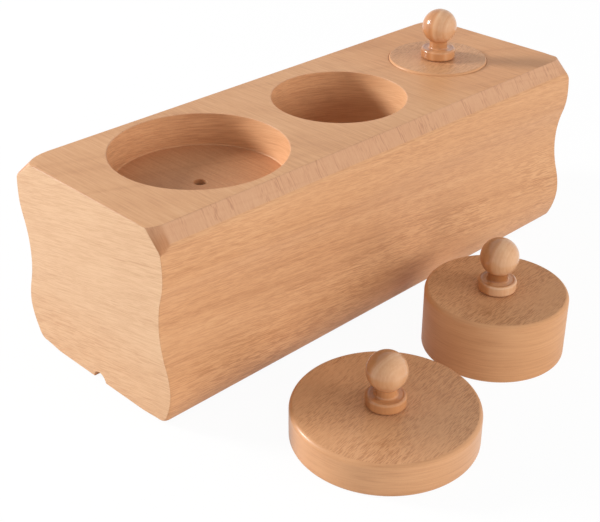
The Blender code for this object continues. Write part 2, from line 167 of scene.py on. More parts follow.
class BeechLook(bpy.types.PropertyGroup):
    """Colours of the lacquered beech, and of the light and shade painted on it."""

    board_dark: colour("Board, late wood", "Darkest figure of the boards", (0.42, 0.185, 0.085))
    board: colour("Board", "Middle tone of the boards", (0.662, 0.353, 0.178))
    board_pale: colour("Board, early wood", "Palest figure of the boards", (0.835, 0.515, 0.288))
    end_dark: colour("End grain, late wood", "Darkest end grain", (0.47, 0.245, 0.130))
    end_grain: colour("End grain", "Middle tone of the end grain", (0.655, 0.415, 0.246))
    end_pale: colour("End grain, early wood", "Palest end grain", (0.76, 0.525, 0.332))
    chamfer: colour("Chamfer", "Planed across the grain, so duller and greyer", (0.54, 0.30, 0.20))
    # Painted shade: the wood drawn darker and redder low down, near the ground
    painted_low_shade: colour("Low down", "What the wood keeps of its tone near the ground", (0.97, 0.925, 0.88))
    # Painted light: warm light bounced from the medium cylinder onto the shaded foot of the block
    painted_cylinder_bounce: colour("In shade", "The same at the foot, by the medium cylinder", (1.0, 0.89, 0.80))
    warm_top: colour("Warm top", "The same on the top, round the small socket", (1.0, 0.92, 0.84))
    # Painted shade on the floors of the sockets
    floors: colour("Socket floors", "What the bored floors keep of the boards' tones", (0.85, 0.76, 0.73))
    # Painted shade on the rounding at the chamfer's ends, darker and redder
    sanded: colour("Sanded corner", "Where sanding a corner away bares darker grain", (0.46, 0.205, 0.095))
    turned_dark: colour("Turned, late wood", "Darkest figure of the cylinders", (0.36, 0.145, 0.055))
    turned: colour("Turned", "Middle tone of the cylinders", (0.625, 0.322, 0.156))
    turned_pale: colour("Turned, early wood", "Palest figure of the cylinders", (0.79, 0.455, 0.245))
    knob_dark: colour("Knob, late wood", "Darkest figure of the knobs", (0.36, 0.14, 0.048))
    knob: colour("Knob", "Middle tone of the knobs", (0.58, 0.27, 0.114))
    knob_pale: colour("Knob, early wood", "Palest figure of the knobs", (0.84, 0.57, 0.36))
    relief: length("Relief", "Depth of the grain on the block and cylinders", 0.00004)
    knob_relief: length("Knob relief", "Depth of the grain on the knobs", 0.00002)
    roughness: amount("Roughness", "Of the wood under the lacquer", 0.5)
    sheen: amount("Sheen", "How strongly the wood under the lacquer reflects", 0.14)
    lacquer: amount("Lacquer", "Its weight on the block and cylinders", 0.14)
    lacquer_roughness: amount("Lacquer roughness", "Satin on the block and cylinders", 0.3)
    knob_lacquer: amount("Knob lacquer", "Weight of the knobs' thicker lacquer", 0.8)
    knob_roughness: amount("Knob gloss", "Roughness of the knobs' lacquer", 0.14)


class StudioLook(bpy.types.PropertyGroup):
    """The floor, the light and the camera."""

    floor_colour: colour("Floor", "The pale floor, as it lights the object", (0.86, 0.84, 0.81))
    shade: amount("Shade", "How much of its shadows the white floor shows", 0.05)
    sky: amount("Sky", "Strength of the even light from all round", 0.43)
    key_power: power("Key", "Lamp behind on the left", 43)
    key_place: place("Key place", "Where that lamp stands", (-1.056, 1.565, 0.750))
    key_size: length("Key size", "Width of that lamp", 0.5)
    fill_power: power("Fill", "Lamp in front on the right", 20)
    fill_place: place("Fill place", "Where that lamp stands", (0.765, -1.760, 0.640))
    fill_size: length("Fill size", "Width of that lamp", 1.2)
    low_power: power("Low", "Low lamp in front on the left", 8)
    low_place: place("Low place", "Where that lamp stands", (-0.900, -1.760, 0.460))
    low_size: length("Low size", "Width of that lamp", 0.8)
    lamps_aim: place("Aim", "What the lamps point at", (0, 0, 0.06))
    camera_place: place("Camera place", "Where the camera stands", (-0.5150, -0.43935, 0.4242))
    camera_azimuth: angle("Azimuth", "Turn from looking along the depth", math.radians(-44.401))
    camera_elevation: angle("Elevation", "How far the camera looks down", math.radians(29.809))
    camera_roll: angle("Roll", "How far the camera leans", math.radians(0.094))
    lens: FloatProperty(name="Lens", description="Focal length", default=71.571, unit="CAMERA")


PROPERTY_GROUPS = {
    "beech_block": BlockSizes,
    "beech_cylinders": CylinderSizes,
    "beech_look": BeechLook,
    "beech_studio": StudioLook,
}


# Outlines

def on_circle(centre, radius, turn):
    return centre + radius * Vector((math.cos(turn), math.sin(turn)))


def arc(centre, radius, start, end, steps):
    """Points on a circle from one angle to the other, both ends included."""
    step_turn = (end - start) / steps
    return [on_circle(centre, radius, start + step_turn * step) for step in range(steps + 1)]


def angle_of(vector):
    return math.atan2(vector.y, vector.x)


def fillet_in_arc(centre, radius, corner, along, inward, fillet):
    """Rounds the corner between a circle and a line that runs along to it, seen from inside.

    The result is the rounding's centre and its angles at the circle and at the line.
    """
    start = corner + fillet * inward - centre
    half = start.dot(along)
    reach = radius - fillet
    travel = -half + math.sqrt(half * half - start.length_squared + reach * reach)
    middle = centre + start + travel * along
    return middle, angle_of(middle - centre), angle_of(-inward)


def waist_of(sizes):
    return Vector((sizes.upper_width / 2 - sizes.waist_inset, sizes.glue_height + sizes.waist_rise))


def wave(sizes, bulge, bulge_height):
    """The two arcs of a side between a bulge and the waist: both radii, and the angle of each."""
    waist = waist_of(sizes)
    inset = bulge - waist.x
    rise = abs(bulge_height - waist.y)
    total = (inset * inset + rise * rise) / (2 * inset)
    return (1 - WAIST_SHARE) * total, WAIST_SHARE * total, math.asin(rise / total)


def waist_arc(sizes, radius, start, end, steps):
    """The hollow arc of the waist, from one height over the waist to another."""
    middle = waist_of(sizes) + Vector((radius, 0))
    start_turn = math.pi - math.asin(start / radius)
    end_turn = math.pi - math.asin(end / radius)
    return arc(middle, radius, start_turn, end_turn, steps)


def level_run(start, end, height):
    """Points along a level stretch of the section."""
    stride = (end - start) / WAVE_STEPS
    return [Vector((start + stride * step, height)) for step in range(WAVE_STEPS + 1)]


def drawn_in(stretches, eases):
    """Joins stretches of the outline, and adds to each point how far the end face is drawn in there.

    The eases are the vectors of that at the first point and at the end of every stretch.
    """
    side = []
    for points, start, end in zip(stretches, eases, eases[1:]):
        last = len(points) - 1
        eased = [(point, start.lerp(end, index / last)) for index, point in enumerate(points)]
        side += eased[1:] if side else eased
    return side


def lower_side(sizes):
    """Half the lower board's outline, from the underside up to the glue face."""
    bulge = sizes.lower_width / 2
    height = sizes.lower_bulge_rise
    bulge_radius, waist_radius, turn = wave(sizes, bulge, height)
    foot_centre = Vector((bulge - sizes.foot_radius, height))
    corner = (Vector((bulge, 0)), Vector((1, 0)), Vector((0, 1)))
    middle, on_side, on_ground = fillet_in_arc(
        foot_centre, sizes.foot_radius, *corner, sizes.foot_rounding
    )
    bulge_centre = Vector((bulge - bulge_radius, height))
    joint = -waist_radius * math.sin(turn)
    glue = -sizes.waist_rise - sizes.glue_line / 2

    under_ease = Vector((0, sizes.end_ease))
    ground_ease = Vector((0, sizes.foot_ease))
    foot_ease = -sizes.foot_ease * on_circle(Vector((0, 0)), 1, on_side)
    side_ease = Vector((-sizes.end_ease, 0))
    foot = arc(middle, sizes.foot_rounding, on_ground, on_side, WAVE_STEPS)
    foot_side = arc(foot_centre, sizes.foot_radius, on_side, 0, WAVE_STEPS)
    over_bulge = arc(bulge_centre, bulge_radius, 0, turn, WAVE_STEPS)
    hollow = waist_arc(sizes, waist_radius, joint, glue, WAVE_STEPS)
    under = level_run(middle.x - sizes.ease_run, middle.x, 0)
    eases = (under_ease, ground_ease, foot_ease, side_ease, side_ease, side_ease)
    return drawn_in((under, foot, foot_side, over_bulge, hollow), eases)


def upper_side(sizes):
    """Half the upper board's outline, from the glue face up to the top."""
    bulge = sizes.upper_width / 2
    height = sizes.top - sizes.chamfer_drop - sizes.shoulder_rise
    bulge_radius, waist_radius, turn = wave(sizes, bulge, height)
    lower_waist_radius = wave(sizes, sizes.lower_width / 2, sizes.lower_bulge_rise)[1]
    bulge_centre = Vector((bulge - bulge_radius, height))
    glue = sizes.glue_line / 2 - sizes.waist_rise
    joint = waist_radius * math.sin(turn)

    shoulder_centre = Vector((bulge - sizes.shoulder_radius, height))
    shoulder_turn = math.asin(sizes.shoulder_rise / sizes.shoulder_radius)
    chamfer_foot = on_circle(shoulder_centre, sizes.shoulder_radius, shoulder_turn)
    chamfer_top = Vector((socket_radius(sizes, "large") + sizes.rim_flat, sizes.top))
    down = (chamfer_foot - chamfer_top).normalized()
    inward = Vector((down.y, -down.x))
    middle, on_side, on_chamfer = fillet_in_arc(
        shoulder_centre, sizes.shoulder_radius, chamfer_foot, down, inward, sizes.chamfer_foot
    )
    setback = sizes.chamfer_top * math.tan((math.pi / 2 - on_chamfer) / 2)
    top_centre = Vector((chamfer_top.x - setback, sizes.top - sizes.chamfer_top))

    side_ease = Vector((-sizes.end_ease, 0))
    shoulder_ease = sizes.shoulder_ease * inward
    corner_ease = Vector((-sizes.corner_ease, -sizes.end_ease))
    top_ease = Vector((0, -sizes.end_ease))
    glue_edge = waist_arc(sizes, lower_waist_radius, glue, 0, 2)
    hollow = waist_arc(sizes, waist_radius, 0, joint, WAVE_STEPS)
    under_bulge = arc(bulge_centre, bulge_radius, -turn, 0, WAVE_STEPS)
    over_bulge = arc(shoulder_centre, sizes.shoulder_radius, 0, on_side, WAVE_STEPS)
    shoulder = arc(middle, sizes.chamfer_foot, on_side, on_chamfer, WAVE_STEPS)
    edge = arc(top_centre, sizes.chamfer_top, on_chamfer, math.pi / 2, EDGE_STEPS)
    top = level_run(top_centre.x, top_centre.x - sizes.ease_run, sizes.top)
    chamfer = [shoulder[-1], edge[0]]
    eases = 5 * (side_ease,) + (shoulder_ease, corner_ease, corner_ease, top_ease)
    return drawn_in(
        (glue_edge, hollow, under_bulge, over_bulge, shoulder, chamfer, edge, top), eases
    )


def socket_radius(sizes, name):
    return box_size(name + "_cylinder", 0) / 2 + sizes.clearance


def socket_profile(sizes, name):
    """What a socket and its vent take away, from the axis below to the axis above."""
    radius = socket_radius(sizes, name) - (sizes.snug if name == "small" else 0)
    vent = sizes.vent / 2
    mouth = sizes.mouth_rounding
    cove = sizes.cove
    edge = sizes.vent_rounding
    floor = sizes.top - getattr(sizes, name + "_depth")
    below = sizes.glue_height - OVERRUN
    above = sizes.top + OVERRUN
    profile = [Vector((0, below)), Vector((vent, below))]
    profile += arc(Vector((vent + edge, floor - edge)), edge, math.pi, math.pi / 2, FINE_STEPS)
    profile += arc(Vector((radius - cove, floor + cove)), cove, -math.pi / 2, 0, FINE_STEPS)
    profile += arc(Vector((radius + mouth, sizes.top - mouth)), mouth, math.pi, math.pi / 2, FINE_STEPS)
    return profile + [Vector((radius + mouth, above)), Vector((0, above))]


def cylinder_profile(sizes, radius, height, edge):
    """A cylinder with a blind bore for its knob. Its faced top meets the rounding in a crisp edge."""
    bore = sizes.spigot / 2 + sizes.bore_clearance
    foot = sizes.foot_rounding
    faced = math.asin((edge - sizes.top_facing) / edge)
    tool_centre = Vector((radius - edge, height + sizes.top_facing - edge))
    depth = height - sizes.spigot_length
    profile = [Vector((0, 0))]
    profile += arc(Vector((radius - foot, foot)), foot, -math.pi / 2, 0, EDGE_STEPS)
    profile += arc(tool_centre, edge, 0, faced, 2 * EDGE_STEPS)
    return profile + [Vector((bore, height)), Vector((bore, depth)), Vector((0, depth))]


def knob_profile(sizes, ball, height):
    """Spigot, dished collar, neck and ball, turned in one. Height 0 is the collar's underside."""
    neck = sizes.neck / 2
    fillet = sizes.neck_fillet
    edge = sizes.collar_rounding
    spigot = sizes.spigot / 2
    rim = ball - edge
    ball_centre = Vector((0, height - ball))
    hollow = Vector((neck + fillet, 0))
    hollow.y = ball_centre.y - math.sqrt((ball + fillet) ** 2 - hollow.x**2)
    onto_ball = angle_of(hollow - ball_centre)
    dish = sizes.collar_height - sizes.collar_lip

    profile = [Vector((0, -sizes.spigot_length))]
    profile.append(Vector((spigot - sizes.spigot_chamfer, -sizes.spigot_length)))
    profile += [Vector((spigot, sizes.spigot_chamfer - sizes.spigot_length)), Vector((spigot, 0))]
    profile += arc(Vector((rim, edge)), edge, -math.pi / 2, 0, EDGE_STEPS)
    profile += arc(Vector((rim, sizes.collar_height - edge)), edge, 0, math.pi / 2, 2 * EDGE_STEPS)
    for step in range(1, EDGE_STEPS + 1):
        share = step / EDGE_STEPS
        ramp = (1 - math.cos(math.pi * share)) / 2
        lip_height = sizes.collar_height - sizes.collar_lip * ramp
        profile.append(Vector((rim - sizes.lip_width * share, lip_height)))
    profile += arc(Vector((neck + fillet, dish + fillet)), fillet, -math.pi / 2, -math.pi, EDGE_STEPS)
    profile += arc(hollow, fillet, math.pi, onto_ball + math.pi, EDGE_STEPS)
    profile += arc(ball_centre, ball, onto_ball, math.pi / 2, BALL_STEPS)[1:-1]
    return profile + [Vector((0, height))]


# Meshes

def new_object(bm, name, location=(0, 0, 0)):
    mesh = bpy.data.meshes.new(name)
    bm.to_mesh(mesh)
    bm.free()
    smooth(mesh)
    obj = bpy.data.objects.new(name, mesh)
    obj.location = location
    bpy.context.scene.collection.objects.link(obj)
    return obj


def smooth(mesh):
    mesh.shade_smooth()
    mesh.set_sharp_from_angle(angle=SMOOTH_ANGLE)


def even_shading(obj):
    """Lets the large flat faces rule the shading where small roundings run into them."""
    weighted = obj.modifiers.new("even_shading", "WEIGHTED_NORMAL")
    weighted.keep_sharp = True
    weighted.weight = 100


def mirrored(vector):
    return Vector((-vector.x, vector.y))


def skin(bm, rings):
    """Covers closed rings of points with faces. A ring can be a single point on the axis."""
    count = max(len(ring) for ring in rings)
    for lower, upper in zip(rings, rings[1:]):
        for index in range(count):
            after = (index + 1) % count
            corners = [lower[spot % len(lower)] for spot in (index, after)]
            corners += [upper[spot % len(upper)] for spot in (after, index)]
            bm.faces.new(tuple(dict.fromkeys(corners)))


def board_mesh(side, sizes):
    """Lofts a board along its length from half its outline, with rounded edges at both ends."""
    outline = [(point, sizes.back_share * ease) for point, ease in side]
    outline += [(mirrored(point), mirrored(ease)) for point, ease in reversed(side)]
    bm = bmesh.new()
    rings = []
    for end in (-1, 1):
        steps = range(EDGE_STEPS + 1) if end < 0 else range(EDGE_STEPS, -1, -1)
        for step in steps:
            turn = math.pi / 2 * step / EDGE_STEPS
            ring = []
            for point, ease in outline:
                spot = point + ease * (1 - math.sin(turn))
                run = sizes.ease_slant * ease.length * (1 - math.cos(turn))
                ring.append(bm.verts.new((end * (sizes.full_length / 2 - run), spot.x, spot.y)))
            rings.append(ring)
    skin(bm, rings)
    bm.faces.new(reversed(rings[0]))
    bm.faces.new(rings[-1])
    bmesh.ops.recalc_face_normals(bm, faces=bm.faces)
    return bm


def turned_mesh(profile, segments):
    """Turns a profile round the Z axis. It runs from the axis at the bottom to the axis on top."""
    bm = bmesh.new()
    rings = []
    for radius, height in profile:
        if radius == 0:
            rings.append([bm.verts.new((0, 0, height))])
            continue
        turns = [2 * math.pi * segment / segments for segment in range(segments)]
        rings.append([
            bm.verts.new((radius * math.cos(turn), radius * math.sin(turn), height)) for turn in turns
        ])
    skin(bm, rings)
    return bm


def cut(obj, cutters):
    """Cuts the cutters out of an object and deletes them."""
    for cutter in cutters:
        boolean = obj.modifiers.new(cutter.name, "BOOLEAN")
        boolean.operation = "DIFFERENCE"
        boolean.solver = "EXACT"
        boolean.object = cutter
    bpy.context.view_layer.update()
    graph = bpy.context.evaluated_depsgraph_get()
    mesh = bpy.data.meshes.new_from_object(obj.evaluated_get(graph))
    if not mesh.polygons:
        raise RuntimeError(obj.name + ": nothing is left after the cuts")
    obj.modifiers.clear()
    obj.data = mesh
    mesh.name = obj.name
    smooth(mesh)
    for cutter in cutters:
        bpy.data.objects.remove(cutter, do_unlink=True)


def finish_piece(piece, material, body, slot, *nodes):
    """Gives a piece its material and its place in the frame."""
    piece.data.materials.clear()
    piece.data.materials.append(material)
    even_shading(piece)
    bpy.context.view_layer.update()
    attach(piece, body)
    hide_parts(*nodes)


# Shader sums

class Field:
    """A shader socket that can stand in a sum. Each operator adds the Math node it needs."""

    def __init__(self, finish, socket):
        self.finish = finish
        self.socket = socket

    def maths(self, operation, first, second=0.0):
        return self.finish.node("ShaderNodeMath", {"operation": operation}, {0: first, 1: second})

    def __add__(self, other):
        return self.maths("ADD", self, other)

    def __radd__(self, other):
        return self.maths("ADD", other, self)

    def __sub__(self, other):
        return self.maths("SUBTRACT", self, other)

    def __rsub__(self, other):
        return self.maths("SUBTRACT", other, self)

    def __mul__(self, other):
        return self.maths("MULTIPLY", self, other)

    def __rmul__(self, other):
        return self.maths("MULTIPLY", other, self)

    def __abs__(self):
        return self.maths("ABSOLUTE", self)


class Finish:
    """The nodes of one material, or of the world."""

    def __init__(self, tree):
        self.tree = tree
        tree.nodes.clear()

    def node(self, kind, settings=None, sockets=None, output=0):
        """Adds a node: its settings first, then the values or links of its sockets."""
        made = self.tree.nodes.new(kind)
        for name, value in (settings or {}).items():
            if name == "stops":
                set_stops(made.color_ramp, value)
            else:
                setattr(made, name, value)
        for key, value in (sockets or {}).items():
            if isinstance(value, Field):
                self.tree.links.new(value.socket, made.inputs[key])
            else:
                made.inputs[key].default_value = value
        return Field(self, made.outputs[output]) if made.outputs else None

    def step(self, value, start, end):
        """Goes smoothly from 0 at the start to 1 at the end, which can be the lower value of the two."""
        sockets = {"Value": value, "From Min": start, "From Max": end}
        return self.node("ShaderNodeMapRange", {"interpolation_type": "SMOOTHSTEP"}, sockets)

    def mix(self, share, first, second, blend="MIX"):
        """Mixes two colours."""
        settings = {"data_type": "RGBA", "blend_type": blend}
        return self.node("ShaderNodeMix", settings, {0: share, 6: first, 7: second}, 2)

    def dimmed(self, share, tint, kept):
        """Leaves a tint only what is kept of each channel, where the share is 1."""
        return self.mix(share, tint, (*kept, 1), "MULTIPLY")

    def coordinates(self, kind):
        return self.node("ShaderNodeTexCoord", output=kind)

    def split(self, vector, axis):
        return self.node("ShaderNodeSeparateXYZ", {}, {0: vector}, axis)

    def figure(self, wood, sizes, detail, roughness=0.5):
        """Noise about zero, with blotches of the given sizes in millimetres along each axis."""
        shares = [1 / size for size in sizes]
        scaled = self.node("ShaderNodeVectorMath", {"operation": "MULTIPLY"}, {0: wood, 1: shares})
        sockets = {"Vector": scaled, "Scale": 1.0, "Detail": detail, "Roughness": roughness}
        return self.node("ShaderNodeTexNoise", {}, sockets) - 0.5

    def figures(self, wood, table):
        """The figures of a table by name, and "lift", which is 1 all over its zone."""
        made = {"lift": 1.0}
        for name, (sizes, detail, roughness, *limits) in table.items():
            noise = self.figure(wood, sizes, detail, roughness)
            made[name] = self.step(noise, *limits) if limits else noise
        return made

    def tones(self, tone, dark, middle, pale):
        """Turns a tone about zero, from -0.5 to 0.5, into a colour."""
        stops = [(0.0, dark), (0.5, middle), (1.0, pale)]
        return self.node("ShaderNodeValToRGB", {"stops": stops}, {0: tone + 0.5})


def set_stops(ramp, stops):
    while len(ramp.elements) < len(stops):
        ramp.elements.new(0.5)
    for element, (position, shade) in zip(ramp.elements, stops):
        element.position = position
        element.color = (*shade, 1)


def layered(zones, figures, table):
    """Sums up a table: in each of its zones, each figure by its share."""
    total = 0.0
    for zone, shares in table.items():
        total = total + zones[zone] * sum(share * figures[name] for name, share in shares.items())
    return total


# Figures of the wood

# Each figure has the sizes of its blotches in millimetres, along the grain, across it and across the
# growth layers, then the detail and roughness of its noise and, for spots, where they set in.
BOARD_GRAIN = {
    "bands": ((420, 160, 7.0), 3.0, 0.6),
    "lines": ((600, 210, 11.9), 1.0, 0.5),
    "drift": ((150, 48, 26), 2.0, 0.5),
    "streaks": ((60, 30, 1.3), 3.0, 0.6),
    "dashes": ((11, 26, 0.9), 2.0, 0.6),
    "flecks": ((8.0, 26, 0.46), 1.0, 0.5, -0.05, 0.08),
    "patches": ((70, 60, 22), 2.0, 0.5, -0.12, 0.14),
    "end_lines": ((9, 26, 0.7), 2.0, 0.6),
    "end_flecks": ((9, 11, 0.46), 1.0, 0.5, -0.05, 0.08),
}
BOARD_CUTS = {
    "pores": ((1.9, 0.6, 0.6), 1.0, 0.5),
    "planed": ((1.3, 26, 30), 2.0, 0.6),
    "marks": ((1.0, 9, 8), 2.0, 0.65),
    "ticks": ((0.85, 7, 6), 1.0, 0.5, 0.0, 0.13),
    "bite": ((9, 60, 60), 2.0, 0.5, -0.14, 0.16),
    "wobble": ((17, 40, 40), 1.0, 0.5),
    "mottle": ((1.9, 1.6, 3), 2.0, 0.6),
}
TURNED_FIGURES = {
    "bands": ((420, 160, 4.6), 3.0, 0.6),
    "lines": ((600, 210, 7.82), 1.0, 0.5),
    "drift": ((60, 26, 20), 2.0, 0.5),
    "streaks": ((30, 18, 0.8), 3.0, 0.6),
    "grain": ((12, 0.8, 6), 2.0, 0.6),
    "pores": ((1.8, 0.5, 0.5), 1.0, 0.5),
    "flecks": ((5.0, 0.5, 5), 1.0, 0.5, -0.04, 0.10),
    "patches": ((38, 22, 20), 2.0, 0.5, -0.16, 0.08),
}
KNOB_FIGURES = {
    "wander": ((14, 14, 30), 1.0, 0.5),
    "drift": ((9, 9, 22), 1.0, 0.5),
    "streaks": ((0.9, 0.9, 12), 2.0, 0.5),
}

# How much each figure adds to the tone, the relief and the roughness, zone by zone
BOARD = {
    "tone": {
        "all": {"bands": 0.22, "drift": 0.20, "lines": -0.08, "pores": 0.12},
        "side": {"streaks": 0.20, "dashes": 0.22, "flecks": -0.11},
        "coarse_side": {"dashes": 0.8, "flecks": -1.0, "lift": 0.5},
        "chamfer": {"marks": 0.44, "ripple": -0.06, "ticks": -0.44, "lift": 0.10},
        "top": {"planed": 0.58},
        "floor": {"mottle": 0.36},
        # Painted highlight lines where the chamfer's foot and the shoulder under it catch the light
        "chamfer_highlight_line": {"lift": 0.07},
        "shoulder_highlight_line": {"lift": 0.06},
        # The socket walls: painted shade over them all, lifted by painted light most where a wall faces
        # the key lamp and a little where it faces straight away
        "bored": {"lift": -0.12},
        "lit": {"lift": 0.26},
        "unlit": {"lift": 0.08},
        # Painted warm bounce light from the medium cylinder, lifting the shaded foot
        "shade": {"lift": 0.32},
    },
    "end_tone": {
        "all": {
            "bands": 0.20, "drift": 0.20, "lines": -0.06, "pores": 0.18,
            "end_lines": 0.46, "end_flecks": -0.13,
        },
        "coarse": {"end_flecks": -0.45, "lift": 0.3},
    },
    "relief": {
        "all": {"pores": 0.6},
        "side": {"dashes": 0.7, "flecks": -0.5},
        "chamfer": {"marks": 0.5, "ripple": 0.25},
        "top": {"planed": 0.4},
        "floor": {"mottle": 0.6},
    },
    "roughness": {"all": {"dashes": 0.12}, "end": {"lift": -0.06}, "floor": {"lift": 0.1}},
}
TURNED = {
    "tone": {
        "all": {"bands": 0.24, "drift": 0.24, "lines": -0.07, "pores": 0.10},
        "side": {"streaks": 0.42},
        "face": {"grain": 0.32, "flecks": -0.144, "dense_flecks": -0.176, "lift": 0.08},
    },
    "relief": {"all": {"pores": 0.8}, "side": {"streaks": 0.8}, "face": {"flecks": -1.0}},
    "roughness": {"all": {"streaks": 0.12}},
}
KNOB = {
    "tone": {
        "all": {"bands": 0.44, "drift": 0.24, "streaks": 0.14, "pale": 0.36, "lift": -0.21},
        # Painted shade on the neck under the ball
        "neck": {"pale": -0.216},
    },
    "relief": {"all": {"streaks": 0.7, "bands": 0.4}},
    "roughness": {"all": {"streaks": 0.1, "lift": -0.1}},
}

BOARD_TILT = (0.20, -0.10, 0.0)  # how the growth layers lean in the boards, in radians
TURNED_TILT = (0.04, -0.05)
SEED_SHIFT = (137.0, 71.0)  # how far apart the pieces are cut from the wood
LINE_WIDTH = 0.035  # of the thin dark lines between growth layers
RIPPLE_LENGTH = 3.3  # from one mark of the chamfer's cutter to the next
RIPPLE_WOBBLE = 6.0
RING_SIZES = (2.6, 1, 1)  # of the knobs' growth rings
RING_TAPER = (1, 1, 0.12)  # how much the rings lean in, upwards
RING_WANDER = 2.0
RING_SHIFT = 31.0  # from one knob's rings to the next one's
HEART_EDGE = (-1.2, 2.2)  # where the pale wood sets in round the heart
HEART_WANDER = 4.0
NECK_FOOT = (6.6, 7.6)  # heights over the underside of a knob's collar
NECK_TOP = (14.5, 12.0)
IOR = 1.5  # of wood and lacquer
FACED = (0.93, 0.99)  # how far a cylinder's faces look up or down

# Each zone of a board is where all of its conditions hold. A condition has what it looks at and the
# values that it sets in between: the way that a face looks, from 0 to 1, or a place in millimetres.
BOARD_ZONES = {
    "all": (),
    "top": (("up", 0.93, 0.99),),
    "floor": (("up", 0.93, 0.99), ("from_top", -1.0, -3.0)),
    "warm": (("up", 0.93, 0.99), ("along", 40, 110)),
    "end": (("endward", 0.70, 0.93), ("from_end", -10, -9)),
    "chamfer": (("up", 0.30, 0.45), ("up", 0.99, 0.93), ("from_top", -9.6, -8.7)),
    # Thin bands at the chamfer's foot and on the shoulder below it, which get painted highlight lines
    "chamfer_highlight_line": (("from_top", -11.2, -10.5), ("from_top", -9.8, -10.5)),
    "shoulder_highlight_line": (("from_top", -14.9, -14.2), ("from_top", -13.5, -14.2)),
    # The rounding at the chamfer's ends, which gets painted shade
    "corner": (
        ("from_end", -9.5, -7.0),
        ("closing", -15.5, -13.0),
        ("endward", 0.99, 0.80),
        ("up", 0.15, 0.35),
        ("up", 0.97, 0.80),
    ),
    "corner_top": (("from_top", -8.0, -1.5),),
    "right": (("along", -1, 1),),
    # Socket walls, and those of them that face towards and away from the key lamp: for painted light and
    # shade
    "bored": (("from_end", -9, -10), ("across", 58, 56)),
    "lit": (("to_key", 0.143, 1.143),),
    "unlit": (("to_key", -0.143, -1.143),),
    "coarse": (("height", 46, 22), ("along", 90, 20)),
    # Painted shade near the ground
    "low": (("height", 58, 16), ("along", 120, 60)),
    # Painted warm bounce light from the medium cylinder, at the shaded foot
    "shade": (("height", 34, 12), ("along", -85, -25), ("along", 90, 40)),
}

COARSE_SHARE = 0.11  # how coarse the figure is low down on the left
CORNER_CLOSING = 0.6  # how steeply a sanded corner closes downwards
CORNER_SHARE = 0.9  # how much painted shade a sanded corner shows low down
CORNER_PALING = 0.5  # how much less at its top
RIGHT_PALING = 0.7  # and how much less the right corners show
# How strongly the cutter marks streak the painted corner shade
CORNER_SHADE_STREAKS = 1.2
CHAMFER_SHARE = 0.45  # how much of its own colour the chamfer shows


# Beech

def wood_place(finish, turns, seed):
    """Place in the piece in millimetres, with X along the grain and Z across the growth layers."""
    spot = finish.coordinates("Object")
    start = (SEED_SHIFT[0] * seed, SEED_SHIFT[1] * seed, 0.0)
    sockets = {"Vector": spot, "Location": start, "Rotation": turns, "Scale": (MM, MM, MM)}
    return finish.node("ShaderNodeMapping", {"vector_type": "POINT"}, sockets)


def wood_figures(finish, wood, table):
    """The figures of a table, with thin dark lines that follow the growth layers."""
    figures = finish.figures(wood, table)
    figures["lines"] = finish.step(abs(figures["lines"]), LINE_WIDTH, 0.0)
    return figures


def lacquered(finish, tint, zones, figures, tables, look, lacquer, gloss, depth):
    """The shader that every piece shares: wood under a clear lacquer, with its relief and gloss."""
    height = layered(zones, figures, tables["relief"])
    relief = finish.node("ShaderNodeBump", {}, {"Strength": 1.0, "Distance": depth, "Height": height})
    surface = finish.node("ShaderNodeBsdfPrincipled", {}, {
        "Base Color": tint,
        "Roughness": look.roughness + layered(zones, figures, tables["roughness"]),
        "IOR": IOR,
        "Specular IOR Level": look.sheen,
        "Coat Weight": lacquer,
        "Coat Roughness": gloss,
        "Coat IOR": IOR,
        "Normal": relief,
    })
    finish.node("ShaderNodeOutputMaterial", {}, {"Surface": surface})


def new_finish(name):
    material = bpy.data.materials.new(name)
    material.use_nodes = True
    return material, Finish(material.node_tree)


def board_zones(finish, sizes):
    """Where the zones of a board lie: 1 in each, 0 outside."""
    spot = finish.coordinates("Object")
    facing = finish.coordinates("Normal")
    along, across, height = [finish.split(spot, axis) * MM for axis in "XYZ"]
    endward, back, up = [finish.split(facing, axis) for axis in "XYZ"]
    from_end = abs(along) - sizes.full_length / 2 * MM
    from_top = height - sizes.top * MM
    values = {
        "up": up,
        "endward": abs(endward),
        # How far a face turns towards the key lamp, which paints light and shade onto the socket walls
        "to_key": back - endward,
        "along": along,
        "across": abs(across),
        "height": height,
        "from_end": from_end,
        "from_top": from_top,
        "closing": from_top + CORNER_CLOSING * from_end,
    }
    zones = {}
    for name, conditions in BOARD_ZONES.items():
        zones[name] = 1.0
        for value, start, end in conditions:
            zones[name] = zones[name] * finish.step(values[value], start, end)
    zones["side"] = (1 - zones["top"]) * (1 - zones["chamfer"])
    zones["bored"] = zones["bored"] * zones["side"]
    for name in ("lit", "unlit"):
        zones[name] = zones[name] * zones["bored"]
    # The painted highlight lines stay off the end faces
    for name in ("chamfer_highlight_line", "shoulder_highlight_line"):
        zones[name] = zones[name] * (1 - zones["end"])
    # How much painted shade each sanded corner shows
    shown = (CORNER_SHARE - CORNER_PALING * zones["corner_top"]) * (1 - RIGHT_PALING * zones["right"])
    zones["corner"] = zones["corner"] * shown
    return zones


def cutter_marks(finish, figures):
    """The ripple and the ticks that the chamfer's cutter leaves where it bites."""
    spot = finish.coordinates("Object")
    along = finish.split(spot, "X") * MM
    waves = (along + RIPPLE_WOBBLE * figures["wobble"]) * (2 * math.pi / RIPPLE_LENGTH)
    ripple = finish.node("ShaderNodeMath", {"operation": "SINE"}, {0: waves})
    return {"ripple": ripple * figures["bite"], "ticks": figures["ticks"] * figures["bite"]}


